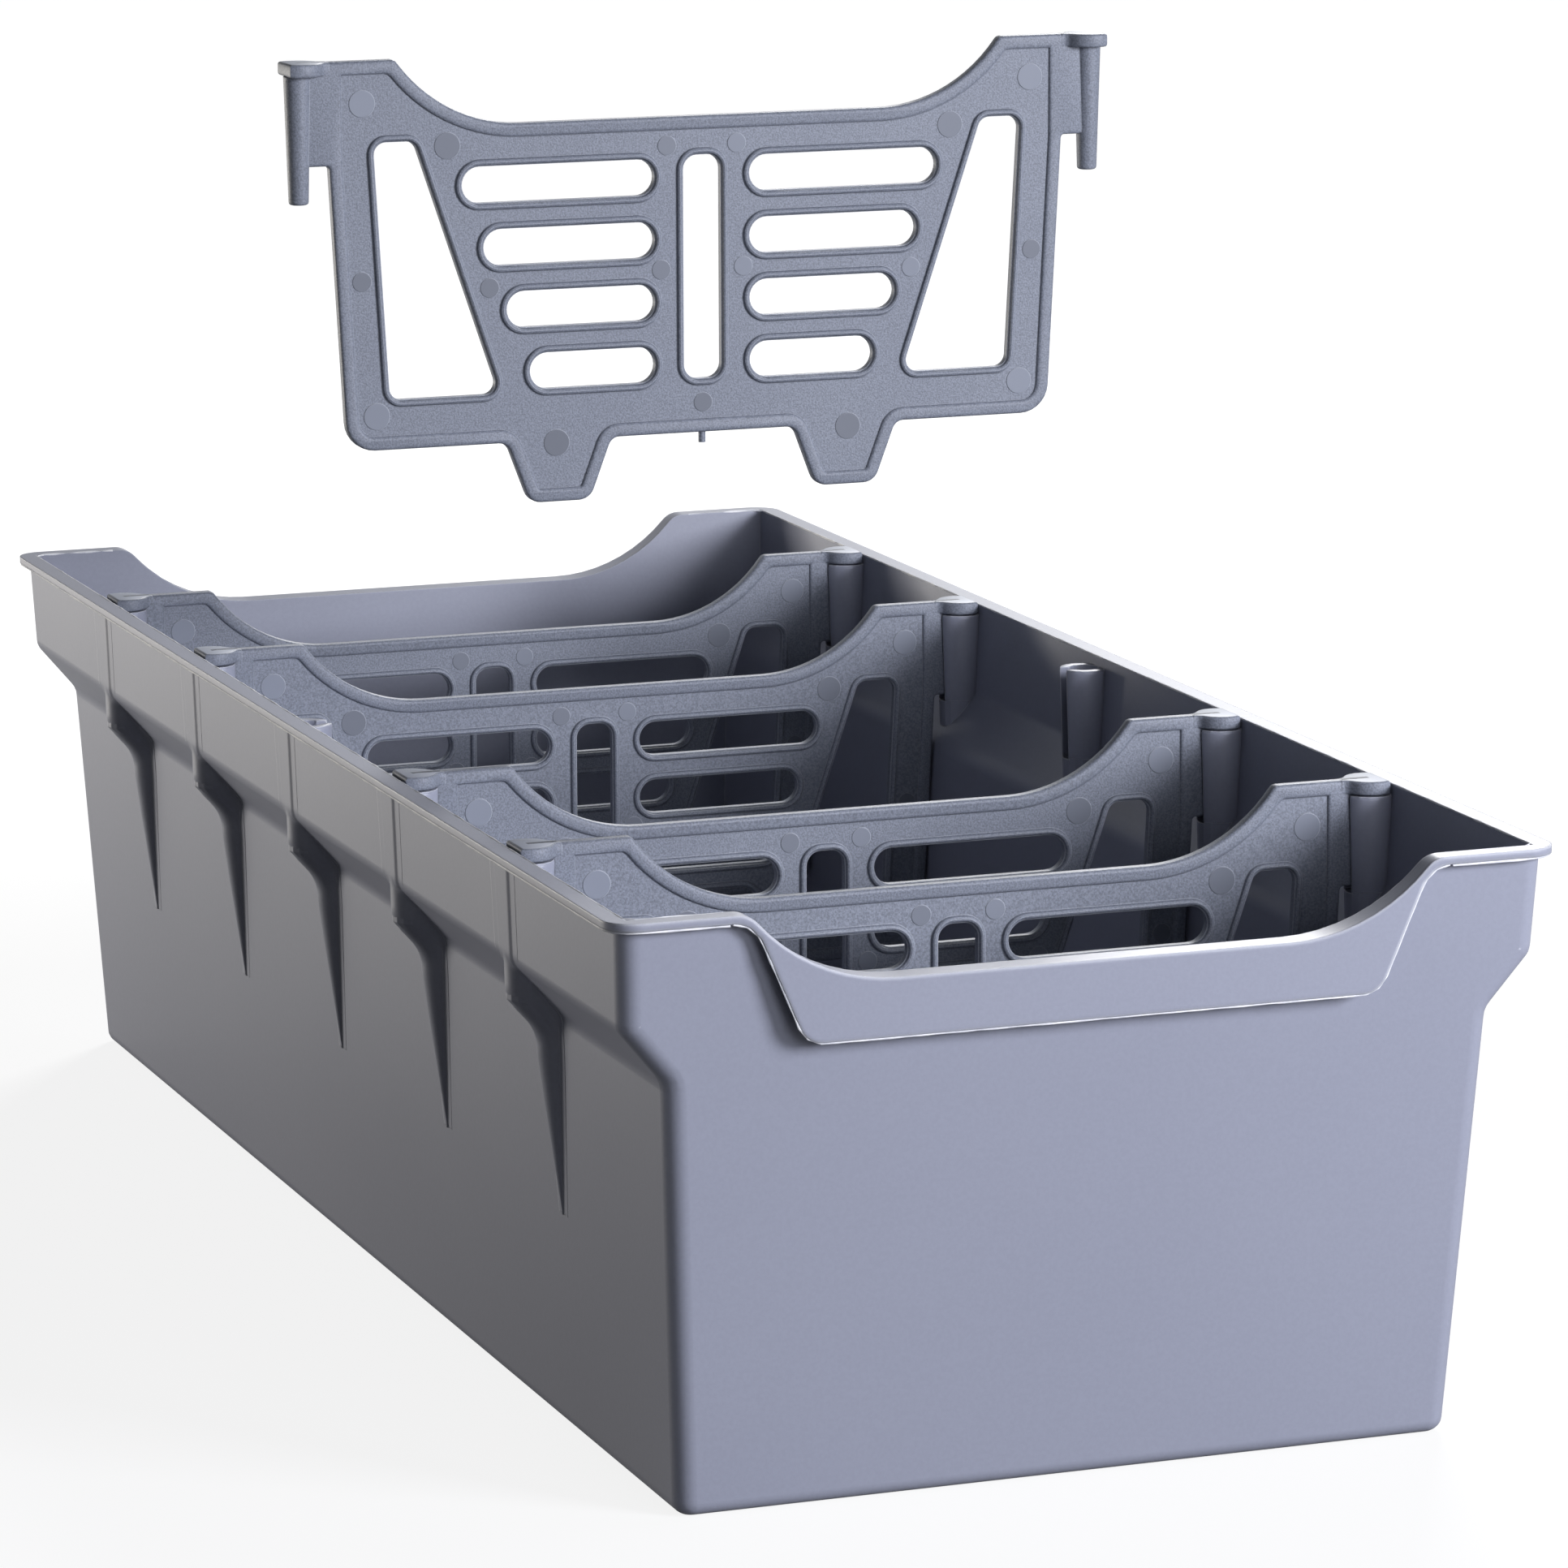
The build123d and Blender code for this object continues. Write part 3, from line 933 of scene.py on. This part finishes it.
sideWall = {
    "floorHalf": 62.05,
    "shoulderFoot": (65.50, 67.0),
    "bandFoot": (72.50, 75.4),
    "rim": (73.2, 92.0),
    "shoulderMiddle": 71.2,
    "topBend": 0.9,
    "footBend": 1.2,
}


def wallOutside(height, samples=9):
    # how far out the side wall's outer face is at a height, with both bends of the shoulder rounded
    floor = (sideWall["floorHalf"], 0.0)
    corners = [floor, sideWall["shoulderFoot"], sideWall["bandFoot"], sideWall["rim"]]
    spread = sideWall["topBend"] if height > sideWall["shoulderMiddle"] else sideWall["footBend"]
    total = 0.0
    for i in range(samples):
        z = height + spread * (2 * i / (samples - 1) - 1)
        for (x0, z0), (x1, z1) in zip(corners, corners[1:]):
            if z <= z1 or z1 == sideWall["rim"][1]:
                total += x0 + (x1 - x0) * (z - z0) / (z1 - z0)
                break
    return total / samples


def collarMesh(steps=44):
    # smooth tube mouth with a rounded lip, open where the slit is
    outer = socket["radius"] + socket["skin"]
    inner = socket["bore"] - 2 * socket["skin"]
    top, lip = socket["top"] + socket["skin"], socket["lip"]
    foot = socket["top"] - socket["slitDepth"] + socket["slitFoot"]
    taper = (socket["radius"] - socket["footRadius"]) / (socket["top"] - socket["knee"])
    boreTaper = (socket["bore"] - socket["boreFoot"]) / socket["depth"]
    rounds = arc((outer - lip, top - lip), lip, 0, 90, 15)
    rounds += arc((inner + lip, top - lip), lip, 90, 180, 15)
    profile = [(outer - (top - foot) * taper, foot)]
    profile += [(radius, z) for radius, z, _ in rounds]
    profile += [(inner - (top - foot) * boreTaper, foot)]
    half = socket["slit"] / 2 - socket["skin"]
    points, faces = [], []
    for i in range(steps + 1):
        for radius, z in profile:
            end = pi - asin(half / radius)
            a = -end + 2 * end * i / steps
            points.append((radius * cos(a) * mm, radius * sin(a) * mm, z * mm))
    count = len(profile)
    for i in range(steps):
        for k in range(count):
            n = (k + 1) % count
            faces.append((i * count + k, (i + 1) * count + k, (i + 1) * count + n, i * count + n))
    faces.append(tuple(range(count)))
    faces.append(tuple(reversed(range(steps * count, (steps + 1) * count))))
    mesh = bpy.data.meshes.new("socketCollar")
    mesh.from_pydata(points, [], faces)
    return mesh


def bossHeights():
    # the tube steps inwards from its knee to its ankle, and from its toe it runs out to its tip
    ankleZ = socket["knee"] - socket["step"] / tan(radians(socket["turn"]))
    toeZ = ankleZ - socket["ankle"]
    return ankleZ, toeZ, toeZ - socket["toeToTip"]


def bossLine(z):
    # centre (outwards from the pin's axis) and radius of the boss at a height, its corners still sharp
    ankleZ, toeZ, tipZ = bossHeights()
    tipX = wallOutside(tipZ) - divider["pinX"]
    if z >= socket["knee"]:
        share = (z - socket["knee"]) / (socket["top"] - socket["knee"])
        return 0.0, socket["footRadius"] + (socket["radius"] - socket["footRadius"]) * share
    if z >= ankleZ:
        return -socket["step"] * (socket["knee"] - z) / (socket["knee"] - ankleZ), socket["footRadius"]
    if z >= toeZ:
        return -socket["step"], socket["footRadius"]
    share = min(1.0, (toeZ - z) / (toeZ - tipZ))
    return (
        -socket["step"] + (tipX + socket["step"]) * share,
        socket["footRadius"] + (socket["tipRadius"] - socket["footRadius"]) * share,
    )


def eased(share):
    # 0 to 1 with a soft start and end
    share = min(1.0, max(0.0, share))
    return share * share * (3 - 2 * share)


def outsideSkin(u, z, tipZ):
    # outer face over a socket: wall, soft-edged strip and the round closed tube run into each other
    reach = socket["bend"] if z > tipZ + socket["bend"] else 0.0
    near = [bossLine(z + reach * shift) for shift in (-1, -0.5, 0, 0.5, 1)]
    centre = sum(x for x, _ in near) / len(near)
    radius = sum(r for _, r in near) / len(near) + 2 * socket["skin"]
    rise = (z - strip["foot"]) / (strip["top"] - strip["foot"])
    half = strip["footHalf"] + (strip["topHalf"] - strip["footHalf"]) * rise
    edge = strip["edgeEnd"]
    band = strip["proud"] * eased((half + edge - abs(u)) / (edge - strip["edgeStart"]))
    band *= eased((z - strip["foot"] + strip["footFade"]) / strip["footFade"])
    wall = wallOutside(z) - divider["pinX"] + strip["lift"] + band
    beside = socket["fall"] * (radius - abs(u))
    tube = centre + (sqrt(radius ** 2 - u ** 2) if abs(u) < radius else beside)
    # the fillet between tube and wall: none on the band, full below it, thinner towards the tip
    below = (sideWall["bandFoot"][1] - socket["blendBelowBand"] - z) / socket["blendDrop"]
    above = (z - tipZ) / socket["blendRise"]
    share = min(1.0, max(0.0, below)) * min(1.0, max(0.0, above))
    blend = socket["leastBlend"] + socket["blend"] * share
    return (wall + tube + sqrt((wall - tube) ** 2 + blend ** 2)) / 2, radius


def bossMesh(steps=28, sides=7, rows=84, skip=7):
    # closed skin over the tube's outside: down the band, in under the shoulder, thin down the wall
    tipZ = bossHeights()[2]
    end = tipZ - socket["pastTip"]
    points, faces = [], []
    for row in range(rows + 1):
        z = socket["start"] + (end - socket["start"]) * row / rows
        radius = outsideSkin(0.0, z, tipZ)[1]
        onBand = z > strip["foot"] - strip["footFade"]
        wide = max(radius, strip["footHalf"] + strip["margin"] if onBand else 0.0) + socket["flare"]
        turns = [radians(socket["sweep"]) * (2 * i / steps - 1) for i in range(steps + 1)]
        inner = [radius * sin(turn) for turn in turns]
        outer = [inner[-1] + (wide - inner[-1]) * i / sides for i in range(1, sides + 1)]
        across = [-u for u in reversed(outer)] + inner + outer
        points += [(outsideSkin(u, z, tipZ)[0] * mm, u * mm, z * mm) for u in across]
        # the hidden side follows the outside, so that the bore stays free for the pin
        hidden = [*reversed(outer), *reversed(inner[::skip]), *(-u for u in outer)]
        for u in hidden:
            x = outsideSkin(u, z, tipZ)[0] - socket["skinThickness"]
            points.append((x * mm, u * mm, z * mm))
    count = len(across) + len(hidden)
    for row in range(rows):
        a, b = row * count, (row + 1) * count
        for k in range(count):
            n = (k + 1) % count
            faces.append((a + k, b + k, b + n, a + n))
    faces.append(tuple(range(count)))
    faces.append(tuple(reversed(range(rows * count, (rows + 1) * count))))
    mesh = bpy.data.meshes.new("socketBoss")
    mesh.from_pydata(points, [], faces)
    return mesh


def socketTree(pattern):
    # the pattern at every point, turned about Z by the point's own angle
    tree, given = openTree("socketRow", {"Scale": "Float"})
    turn = addNode(tree, "GeometryNodeInputNamedAttribute", {"Name": "turn"}, data_type="FLOAT")
    angles = addNode(tree, "ShaderNodeCombineXYZ", {"Z": turn.outputs["Attribute"]})
    shape = addNode(tree, "GeometryNodeObjectInfo", {"Object": pattern})
    placed = addNode(tree, "GeometryNodeInstanceOnPoints", {
        "Points": given.outputs["Geometry"],
        "Instance": shape.outputs["Geometry"],
        "Rotation": angles.outputs[0],
        "Scale": given.outputs["Scale"],
    })
    return closeTree(tree, placed.outputs["Instances"], mouldedPolypropylene)


def socketRow(shape):
    # ten copies of a socket's piece, one at each end of every divider's station
    pattern = bpy.data.objects.new("socketPattern", shape)
    bpy.context.collection.objects.link(pattern)
    ends = []
    for number in dividerNumbers:
        low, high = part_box(f"divider_{number}")
        ends += [(side * divider["pinX"] * mm, (low[1] + high[1]) / 2, 0.0) for side in (-1, 1)]
    dots = bpy.data.meshes.new("socketPoints")
    dots.from_pydata(ends, [], [])
    turn = dots.attributes.new("turn", "FLOAT", "POINT")
    for value, (x, _, _) in zip(turn.data, ends):
        value.value = 0.0 if x > 0 else pi
    mesh = grown(bpy.data.objects.new("socketPoints", dots), socketTree(pattern), {"Scale": 1.0})
    bpy.data.objects.remove(pattern)
    return mesh


addPiece("socket_collars", socketRow(collarMesh()), mouldedPolypropylene, "bin")
addPiece("socket_bosses", socketRow(bossMesh()), mouldedPolypropylene, "bin")
print("sockets smoothed")

# Thin flash that the mould leaves on the edges of the aprons and the rim, in the bin's own place; its
# near-white is partly the thin plastic's paleness and partly a painted highlight
flash = {
    "radius": 0.24,
    "ragged": 0.5,
    "raggedLength": 2.2,
    "seed": 7,
    "outside": 0.12,  # how far outside the apron's edge its line runs
    "sides": 8,
    "rimThickness": 1.2,
    "hang": 0.46,  # how far it hangs below the rim's underside
    "cornerRound": 4.8,
    "innerHalf": (71.7, 166.7),
    "innerRound": 1.5,
    "scoopEnd": 57.0,
    "apronFoot": (45.3, 72.2, 4.0),
    "apronRoot": (53.3, 90.8, 5.0),
    "apronEnd": 60.0,
    # near white, partly the thin plastic's own paleness and partly a painted highlight
    "colour": "#ffffff",
    "dullColour": "#d2d4da",
    "patch": 9.0,
    "patchDetail": 4.0,
    "patchRoughness": 0.7,
    "patchEdge": (0.4, 0.6),
    "roughness": 0.5,
}


def featherEdge(name):
    material, tree = newMaterial(name)
    place = addNode(tree, "ShaderNodeTexCoord").outputs["Object"]
    patch = addNode(tree, "ShaderNodeTexNoise", {
        "Vector": place,
        "Scale": 1 / (flash["patch"] * mm),
        "Detail": flash["patchDetail"],
        "Roughness": flash["patchRoughness"],
    })
    shade = addNode(tree, "ShaderNodeMapRange", {
        "Value": patch.outputs["Fac"],
        "From Min": flash["patchEdge"][0],
        "From Max": flash["patchEdge"][1],
    })
    colour = addNode(tree, "ShaderNodeMix", {
        "Factor": shade.outputs[0],
        6: toLinear(flash["dullColour"]),
        7: toLinear(flash["colour"]),
    }, data_type="RGBA")
    surface = addNode(tree, "ShaderNodeBsdfPrincipled", {
        "Base Color": colour.outputs[2],
        "Roughness": flash["roughness"],
        "IOR": polypropylene["ior"],
    })
    addNode(tree, "ShaderNodeOutputMaterial", {"Surface": surface.outputs[0]})
    return material


# Polypropylene squeezed thin where the mould's halves meet: patchy and pale, a bright hairline whose
# near-white is partly a painted highlight
paleFlashAndHighlight = featherEdge("paleFlashAndHighlight")


def flashTree():
    # thin round line along every path, ragged: its thickness changes at random from step to step
    tree, given = openTree("flashLines", {
        "Line Radius": "Float",
        "Line Sides": "Int",
        "Ragged Length": "Float",
        "Thinnest": "Float",
    })
    circle = addNode(tree, "GeometryNodeCurvePrimitiveCircle", {
        "Resolution": given.outputs["Line Sides"],
        "Radius": given.outputs["Line Radius"],
    })
    dense = addNode(tree, "GeometryNodeResampleCurve", {
        "Curve": given.outputs["Geometry"],
        "Length": given.outputs["Ragged Length"],
    }, mode="LENGTH")
    tooth = addNode(tree, "FunctionNodeRandomValue", {
        "Min": given.outputs["Thinnest"],
        "Max": 1.0,
        "Seed": flash["seed"],
    }, data_type="FLOAT")
    line = addNode(tree, "GeometryNodeCurveToMesh", {
        "Curve": dense.outputs["Curve"],
        "Profile Curve": circle.outputs["Curve"],
        "Scale": tooth.outputs[1],
        "Fill Caps": True,
    })
    return closeTree(tree, line.outputs["Mesh"], paleFlashAndHighlight)


def flashMesh():
    radius = flash["radius"]
    halfWidth, halfLength, height = (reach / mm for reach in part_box("storage_bin")[1])
    endY = halfLength - radius
    # the right half of the apron's edge, then the whole of it at both ends
    half = [
        (0.0, flash["apronFoot"][1], 0.0),
        flash["apronFoot"],
        flash["apronRoot"],
        (flash["apronEnd"], flash["apronRoot"][1], 0.0),
    ]
    outline = shifted([(-x, z, r) for x, z, r in reversed(half[1:])] + half[1:], flash["outside"])
    whole = rounded(outline)[1:-1]
    paths = [[(x, side * endY, z) for x, z in whole] for side in (-1, 1)]
    # the rim's lower outer edge, and the inner one of its top
    outer = (halfWidth - radius, endY, flash["cornerRound"])
    innerX, innerY = flash["innerHalf"]
    inner = (innerX + radius / 2, innerY + radius / 2, flash["innerRound"])
    edgeFoot = height - flash["rimThickness"] - flash["hang"] + radius
    for (x, y, turn), z in ((outer, edgeFoot), (inner, height - radius / 2)):
        for side in (-1, 1):
            edge = rounded([
                (side * flash["scoopEnd"], -y, 0.0),
                (side * x, -y, turn),
                (side * x, y, turn),
                (side * flash["scoopEnd"], y, 0.0),
            ])
            paths.append([(*place, z) for place in edge])
    lines = bpy.data.curves.new("flashPaths", "CURVE")
    lines.dimensions = "3D"
    addSplines(lines, paths, False)
    sizes = {
        "Line Radius": radius * mm,
        "Line Sides": flash["sides"],
        "Ragged Length": flash["raggedLength"] * mm,
        "Thinnest": flash["ragged"],
    }
    return grown(bpy.data.objects.new("flashPaths", lines), flashTree(), sizes)


addPiece("mould_flash", flashMesh(), paleFlashAndHighlight, "bin")
print("flash drawn")
